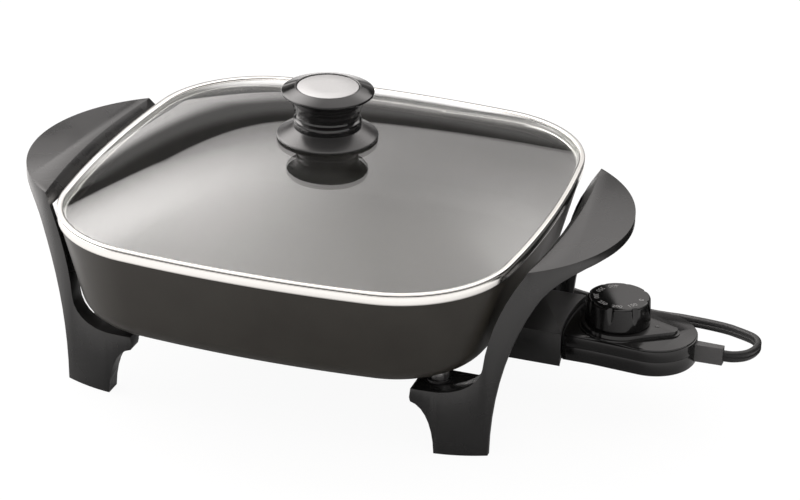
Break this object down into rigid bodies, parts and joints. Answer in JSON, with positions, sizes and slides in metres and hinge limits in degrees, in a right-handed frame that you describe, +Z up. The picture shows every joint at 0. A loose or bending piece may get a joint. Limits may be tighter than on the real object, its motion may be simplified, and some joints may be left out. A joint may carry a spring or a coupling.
{
  "type": "electric skillet",
  "caption": "Square electric skillet with rounded corners, leg handles, a lift-off domed glass lid and a plug-in heat control with a dial and a cord.",
  "frame": {"origin": "on the counter, in the middle of the skillet's overall outline with its heat control plugged in and its cord left out", "axes": "+X from the pan towards the heat control, through both handles; +Z up; the front faces -Y"},
  "size_m": [0.4496, 0.3821, 0.1756],
  "materials": {
    "nonstick": "satin charcoal non-stick coating on a cast pan",
    "handle_plastic": "satin black heat-resistant moulding",
    "gloss_black": "glossy black moulding",
    "lid_glass": "clear tempered glass",
    "steel_band": "bright rolled stainless steel",
    "gasket": "translucent silicone",
    "knob_plastic": "satin black heat-resistant moulding",
    "badge": "satin metal disc, left plain",
    "zinc_steel": "zinc-plated steel",
    "element": "sheathed tubular element, dull",
    "ceramic": "glazed ceramic",
    "pin_steel": "polished steel",
    "block": "moulded phenolic",
    "brass": "bright brass",
    "copper_alloy": "bimetal strip",
    "mark": "black moulded index",
    "dial_plastic": "black dial with a dark grey face",
    "cord": "black flat two-core lead",
    "relief": "satin black strain relief"
  },
  "bodies": {
    "base": {"pan": "nonstick", "heating_element": "element", "insulator_front": "ceramic", "insulator_back": "ceramic", "pin_front": "pin_steel", "pin_back": "pin_steel", "socket_guard": "gloss_black", "guard_screw_front": "zinc_steel", "guard_screw_back": "zinc_steel", "handle_right": "handle_plastic", "handle_left": "handle_plastic", "spacer_right_front": "zinc_steel", "spacer_right_back": "zinc_steel", "spacer_left_front": "zinc_steel", "spacer_left_back": "zinc_steel", "leg_screw_right_front": "zinc_steel", "leg_screw_right_back": "zinc_steel", "leg_screw_left_front": "zinc_steel", "leg_screw_left_back": "zinc_steel"},
    "lid": {"lid_glass": "lid_glass", "lid_band": "steel_band", "lid_gasket": "gasket", "knob": "knob_plastic", "knob_guard": "knob_plastic", "knob_badge": "badge", "knob_screw": "zinc_steel", "knob_washer": "zinc_steel", "knob_seal": "gasket"},
    "control": {"case_upper": "gloss_black", "case_lower": "gloss_black", "contact_block": "block", "clip_front": "brass", "clip_back": "brass", "sensor_rod": "pin_steel", "thermostat": "zinc_steel", "bimetal_arm": "copper_alloy", "case_screw_front": "zinc_steel", "case_screw_back": "zinc_steel", "index_mark": "mark", "strain_relief": "relief", "cord": "cord", "cord_coil": "cord", "cord_tail": "cord", "plug": "relief", "plug_blade_a": "brass", "plug_blade_b": "brass"},
    "dial": {"dial": "dial_plastic", "dial_shaft": "zinc_steel"}
  },
  "joints": [
    {"name": "lid_lift", "type": "slide", "parent": "base", "child": "lid", "axis": [0, 0, 1], "range_m": [0, 0.2]},
    {"name": "control_pull", "type": "slide", "parent": "base", "child": "control", "axis": [1, 0, 0], "range_m": [0, 0.09]},
    {"name": "dial_turn", "type": "hinge", "parent": "control", "child": "dial", "pos_m": [0.1521, 0, 0.063], "axis": [0, 0, 1], "range_deg": [0, 240]}
  ]
}
